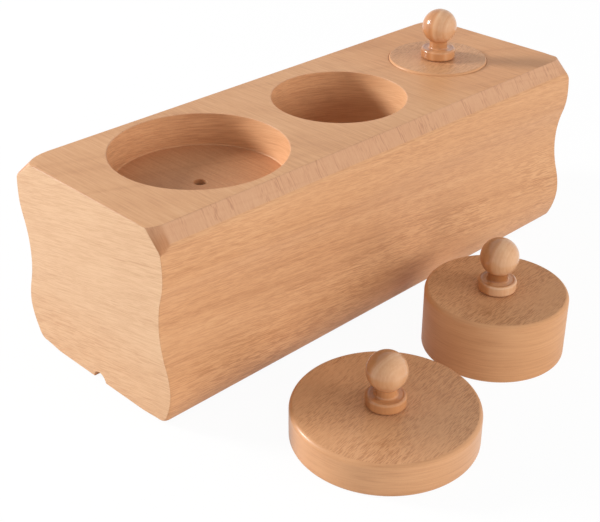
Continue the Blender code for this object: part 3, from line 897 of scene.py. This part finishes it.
def board_beech(name, look, sizes, seed, lively):
    """Planed and moulded board: dashes along the sides, cutter marks over the chamfer and the top."""
    material, finish = new_finish(name)
    wood = wood_place(finish, BOARD_TILT, seed)
    straight = wood_place(finish, (0.0, 0.0, 0.0), seed)
    figures = wood_figures(finish, wood, BOARD_GRAIN)
    figures.update(finish.figures(straight, BOARD_CUTS))
    figures.update(cutter_marks(finish, figures))
    zones = board_zones(finish, sizes)
    zones["coarse"] = lively * figures["patches"] + COARSE_SHARE * zones["coarse"]
    zones["coarse_side"] = zones["side"] * zones["coarse"]

    side_tone = layered(zones, figures, BOARD["tone"])
    tint = finish.tones(side_tone, look.board_dark, look.board, look.board_pale)
    tint = finish.mix(CHAMFER_SHARE * zones["chamfer"], tint, (*look.chamfer, 1))
    # Painted shade on the socket floors
    tint = finish.dimmed(zones["floor"], tint, look.floors)
    tint = finish.dimmed(zones["warm"], tint, look.warm_top)
    end_tone = layered(zones, figures, BOARD["end_tone"])
    end_tint = finish.tones(end_tone, look.end_dark, look.end_grain, look.end_pale)
    tint = finish.mix(zones["end"], tint, end_tint)
    # Painted shade low down near the ground, except where the painted bounce light lies
    tint = finish.dimmed(zones["low"] * (1 - zones["shade"]), tint, look.painted_low_shade)
    # Painted warm bounce light from the medium cylinder, at the shaded foot
    tint = finish.dimmed(zones["shade"], tint, look.painted_cylinder_bounce)
    # Painted shade, streaked, on the rounding at the chamfer's ends
    streaks = CORNER_SHADE_STREAKS * figures["marks"]
    sanded = finish.tones(streaks, look.board_dark, look.sanded, look.board)
    sanded = finish.mix(0.5, (*look.sanded, 1), sanded)
    tint = finish.mix(zones["corner"], tint, sanded)
    coat = (look.lacquer, look.lacquer_roughness, look.relief)
    lacquered(finish, tint, zones, figures, BOARD, look, *coat)
    return material


def turned_beech(name, look, seed, turn, lacquer):
    """A cylinder turned with its grain lying flat: striped sides, and short dark flecks on top."""
    material, finish = new_finish(name)
    wood = wood_place(finish, (*TURNED_TILT, -turn), seed)
    figures = wood_figures(finish, wood, TURNED_FIGURES)
    figures["dense_flecks"] = figures["flecks"] * figures["patches"]
    facing = finish.coordinates("Normal")
    face = finish.step(abs(finish.split(facing, "Z")), *FACED)
    zones = {"all": 1.0, "face": face, "side": 1 - face}
    tone = layered(zones, figures, TURNED["tone"])
    tint = finish.tones(tone, look.turned_dark, look.turned, look.turned_pale)
    coat = (lacquer, look.lacquer_roughness, look.relief)
    lacquered(finish, tint, zones, figures, TURNED, look, *coat)
    return material


def knob_beech(name, look, seed, pith, heart, collar_tone_and_neck_shade):
    """A knob turned with its grain upright: growth rings cut into arcs, darker towards the pith."""
    material, finish = new_finish(name)
    spot = finish.coordinates("Object")
    sockets = {"Vector": spot, "Location": pith, "Scale": (MM, MM, MM)}
    wood = finish.node("ShaderNodeMapping", {"vector_type": "POINT"}, sockets)
    figures = finish.figures(wood, KNOB_FIGURES)
    wander = figures["wander"]
    flat = finish.node("ShaderNodeVectorMath", {"operation": "MULTIPLY"}, {0: wood, 1: RING_TAPER})
    radius = finish.node("ShaderNodeVectorMath", {"operation": "LENGTH"}, {0: flat}, "Value")
    ring = radius + RING_WANDER * wander + RING_SHIFT * seed
    ring_place = finish.node("ShaderNodeCombineXYZ", {}, {0: ring})
    figures["bands"] = finish.figure(ring_place, RING_SIZES, detail=3.0, roughness=0.6)
    figures["pale"] = finish.step(radius + HEART_WANDER * wander - heart, *HEART_EDGE)

    height = finish.split(spot, "Z") * MM
    over_collar = finish.step(height, *NECK_FOOT)
    neck = over_collar * finish.step(height, *NECK_TOP)
    zones = {"all": 1.0, "neck": neck, "collar": 1 - over_collar}
    tone = layered(zones, figures, KNOB["tone"])
    # Each collar's own tone, and painted shade on the neck
    for zone, darkening in collar_tone_and_neck_shade.items():
        tone = tone - darkening * zones[zone]
    tint = finish.tones(tone, look.knob_dark, look.knob, look.knob_pale)
    coat = (look.knob_lacquer, look.knob_roughness, look.knob_relief)
    lacquered(finish, tint, zones, figures, KNOB, look, *coat)
    return material


# Operators

class MakeBlock(bpy.types.Operator):
    """Builds the block's two boards, with sockets, vents and groove"""

    bl_idname = "beech.block"
    bl_label = "Block"

    def execute(self, context):
        sizes = context.scene.beech_block
        look = context.scene.beech_look
        middle = Vector((0, box_middle("block_upper_board", 1), 0))
        upper = new_object(board_mesh(upper_side(sizes), sizes), "upper_board", middle)
        lower = new_object(board_mesh(lower_side(sizes), sizes), "lower_board", middle)
        sockets = []
        vents = []
        for name in CYLINDERS:
            x = self.socket_x(sizes, name)
            spot = middle + Vector((x, 0, 0))
            bore = turned_mesh(socket_profile(sizes, name), SOCKET_SEGMENTS)
            sockets.append(new_object(bore, name + "_socket_cutter", spot))
            vent = self.rod_mesh(sizes.vent / 2, -OVERRUN, sizes.glue_height + OVERRUN, VENT_SEGMENTS)
            vents.append(new_object(vent, name + "_vent_cutter", spot))
        cut(upper, sockets)
        cut(lower, vents + [self.groove_cutter(sizes, middle)])
        upper_beech = board_beech("upper_board_beech", look, sizes, seed=1, lively=0.06)
        lower_beech = board_beech("lower_board_beech", look, sizes, seed=2, lively=0.15)
        finish_piece(upper, upper_beech, "block", "block_beech", "block_upper_board")
        finish_piece(lower, lower_beech, "block", "block_beech", "block_lower_board")
        return {"FINISHED"}

    @staticmethod
    def socket_x(sizes, name):
        """The small cylinder sits in its socket. The others follow from the ends and the webs."""
        radii = {each: socket_radius(sizes, each) for each in CYLINDERS}
        small_x = box_middle("small_cylinder", 0)
        margin = sizes.full_length / 2 - small_x - radii["small"]
        web = (sizes.full_length - 2 * margin) / 2 - sum(radii.values())
        large_x = margin + radii["large"] - sizes.full_length / 2
        medium_x = large_x + radii["large"] + web + radii["medium"]
        return {"large": large_x, "medium": medium_x, "small": small_x}[name]

    @staticmethod
    def rod_mesh(radius, low, high, segments):
        profile = [(0, low), (radius, low), (radius, high), (0, high)]
        return turned_mesh(profile, segments)

    def groove_cutter(self, sizes, middle):
        """A long rod, low enough for its top to cut the groove's width and depth."""
        half = sizes.groove_width / 2
        depth = sizes.groove_depth
        radius = (half * half + depth * depth) / (2 * depth)
        reach = sizes.full_length / 2 + OVERRUN
        spot = middle + Vector((0, 0, depth - radius))
        rod = new_object(self.rod_mesh(radius, -reach, reach, GROOVE_SEGMENTS), "groove_cutter", spot)
        rod.rotation_euler = (0, math.pi / 2, 0)
        return rod


class MakeCylinders(bpy.types.Operator):
    """Turns the three cylinders, each where the frame has it"""

    bl_idname = "beech.cylinders"
    bl_label = "Cylinders"

    first_seed = 3
    grain_turns = {"large": 8, "medium": 5, "small": 10}  # in degrees
    coats = {"large": 3.2, "medium": 0.5, "small": 1.8}  # times the weight of the lacquer

    def execute(self, context):
        sizes = context.scene.beech_cylinders
        look = context.scene.beech_look
        for index, name in enumerate(CYLINDERS):
            node = name + "_cylinder"
            low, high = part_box(node)
            spot = Vector((box_middle(node, 0), box_middle(node, 1), low.z))
            edge = sizes.small_rounding if name == "small" else sizes.top_rounding
            profile = cylinder_profile(sizes, box_size(node, 0) / 2, high.z - low.z, edge)
            piece = new_object(turned_mesh(profile, CYLINDER_SEGMENTS), name + "_turned_cylinder", spot)
            turn = math.radians(self.grain_turns[name])
            lacquer = self.coats[name] * look.lacquer
            seed = self.first_seed + index
            material = turned_beech(name + "_cylinder_beech", look, seed, turn, lacquer)
            finish_piece(piece, material, name + BODY_NAME, "cylinder_beech", node)
        return {"FINISHED"}


class MakeKnobs(bpy.types.Operator):
    """Turns the three ball knobs"""

    bl_idname = "beech.knobs"
    bl_label = "Knobs"

    first_seed = 6

    # From each knob's axis to the pith of its tree, and how far the heart reaches, in millimetres
    piths = {"large": (-2, -26, 0), "medium": (8, -24, 0), "small": (9, -25, 0)}
    hearts = {"large": 27.5, "medium": 25.5, "small": 26.5}

    # How much darker each collar is, and how much painted shade lies on each neck under its ball
    collar_tone_and_neck_shade = {
        "large": {"collar": 0.20, "neck": 0.0},
        "medium": {"collar": -0.04, "neck": 0.50},
        "small": {"collar": 0.16, "neck": 0.10},
    }

    def execute(self, context):
        sizes = context.scene.beech_cylinders
        look = context.scene.beech_look
        for index, name in enumerate(CYLINDERS):
            node = name + "_cylinder_knob"
            low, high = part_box(node)
            collar_height = low.z + sizes.spigot_length
            spot = Vector((box_middle(node, 0), box_middle(node, 1), collar_height))
            profile = knob_profile(sizes, box_size(node, 0) / 2, high.z - collar_height)
            piece = new_object(turned_mesh(profile, KNOB_SEGMENTS), name + "_ball_knob", spot)
            wood = (self.first_seed + index, self.piths[name], self.hearts[name], self.collar_tone_and_neck_shade[name])
            material = knob_beech(name + "_knob_beech", look, *wood)
            finish_piece(piece, material, name + BODY_NAME, "knob_beech", node)
        return {"FINISHED"}


class MakeStudio(bpy.types.Operator):
    """Lays the pale floor, and sets up the soft light and the camera"""

    bl_idname = "beech.studio"
    bl_label = "Studio"

    def execute(self, context):
        look = context.scene.beech_studio
        context.scene.view_settings.view_transform = "Standard"
        self.make_floor(look)
        self.make_world(context.scene, look)
        for name in ("key", "fill", "low"):
            self.make_lamp(look, name)
        self.make_camera(context.scene, look)
        return {"FINISHED"}

    @staticmethod
    def seen_directly(finish):
        """1 for what the camera sees, straight or in a reflection, and 0 for what lights the object."""
        rays = ("Is Camera Ray", "Is Glossy Ray", "Is Transmission Ray")
        camera, glossy, clear = [finish.node("ShaderNodeLightPath", output=ray) for ray in rays]
        settings = {"operation": "ADD", "use_clamp": True}
        return finish.node("ShaderNodeMath", settings, {0: camera + glossy, 1: clear})

    def make_floor(self, look):
        """A paper floor a hair under the ground, white to the eye and tinted as it lights the object."""
        reach = 3.0
        drop = 0.0002
        bm = bmesh.new()
        corners = [(-reach, -reach), (reach, -reach), (reach, reach), (-reach, reach)]
        bm.faces.new([bm.verts.new((x, y, -drop)) for x, y in corners])
        floor = new_object(bm, "pale_floor")
        material, finish = new_finish("pale_floor")
        seen = self.seen_directly(finish)
        white = (1, 1, 1, 1)
        paint = finish.mix(seen, (*look.floor_colour, 1), white)
        paper = finish.node("ShaderNodeBsdfDiffuse", {}, {"Color": paint})
        glow = finish.node("ShaderNodeEmission", {}, {"Color": white, "Strength": 1.0})
        lit = finish.node("ShaderNodeMixShader", {}, {0: seen * (1 - look.shade), 1: paper, 2: glow})
        finish.node("ShaderNodeOutputMaterial", {}, {"Surface": lit})
        floor.data.materials.append(material)

    def make_world(self, scene, look):
        world = bpy.data.worlds.new("studio")
        world.use_nodes = True
        scene.world = world
        finish = Finish(world.node_tree)
        seen = self.seen_directly(finish)
        soft = finish.node("ShaderNodeBackground", {}, {"Color": (1, 1, 1, 1), "Strength": look.sky})
        white = finish.node("ShaderNodeBackground", {}, {"Color": (1, 1, 1, 1), "Strength": 1.0})
        sky = finish.node("ShaderNodeMixShader", {}, {0: seen, 1: soft, 2: white})
        finish.node("ShaderNodeOutputWorld", {}, {"Surface": sky})

    @staticmethod
    def make_lamp(look, name):
        """A round lamp that points at the object. Only the key lamp shows in reflections."""
        light = bpy.data.lights.new(name + "_lamp", "AREA")
        light.shape = "DISK"
        light.size = getattr(look, name + "_size")
        light.energy = getattr(look, name + "_power")
        lamp = bpy.data.objects.new(name + "_lamp", light)
        lamp.location = getattr(look, name + "_place")
        aim = Vector(look.lamps_aim) - lamp.location
        lamp.rotation_euler = aim.to_track_quat("-Z", "Y").to_euler()
        lamp.visible_glossy = name == "key"
        bpy.context.scene.collection.objects.link(lamp)

    @staticmethod
    def make_camera(scene, look):
        data = bpy.data.cameras.new("camera")
        data.lens = look.lens
        data.sensor_fit = "HORIZONTAL"
        camera = bpy.data.objects.new("camera", data)
        turn = Matrix.Rotation(look.camera_azimuth, 3, "Z")
        tilt = Matrix.Rotation(math.pi / 2 - look.camera_elevation, 3, "X")
        lean = Matrix.Rotation(look.camera_roll, 3, "Z")
        camera.matrix_world = Matrix.Translation(look.camera_place) @ (turn @ tilt @ lean).to_4x4()
        scene.collection.objects.link(camera)
        scene.camera = camera


OPERATORS = (MakeBlock, MakeCylinders, MakeKnobs, MakeStudio)


class BeechPanel(bpy.types.Panel):
    """Lists the pieces and their sizes"""

    bl_idname = "VIEW3D_PT_beech"
    bl_label = "Knobbed cylinder block"
    bl_space_type = "VIEW_3D"
    bl_region_type = "UI"
    bl_category = "Beech"

    def draw(self, context):
        for operator in OPERATORS:
            self.layout.operator(operator.bl_idname)
        for name, group in PROPERTY_GROUPS.items():
            column = self.layout.column(heading=name)
            for field in group.__annotations__:
                column.prop(getattr(context.scene, name), field)


def register():
    for each in (*PROPERTY_GROUPS.values(), *OPERATORS, BeechPanel):
        bpy.utils.register_class(each)
    for name, group in PROPERTY_GROUPS.items():
        setattr(bpy.types.Scene, name, PointerProperty(type=group))


def unregister():
    for name in PROPERTY_GROUPS:
        delattr(bpy.types.Scene, name)
    for each in (BeechPanel, *reversed(OPERATORS), *PROPERTY_GROUPS.values()):
        bpy.utils.unregister_class(each)


def main():
    register()
    bpy.ops.beech.block()
    bpy.ops.beech.cylinders()
    bpy.ops.beech.knobs()
    bpy.ops.beech.studio()


if __name__ == "__main__":
    main()
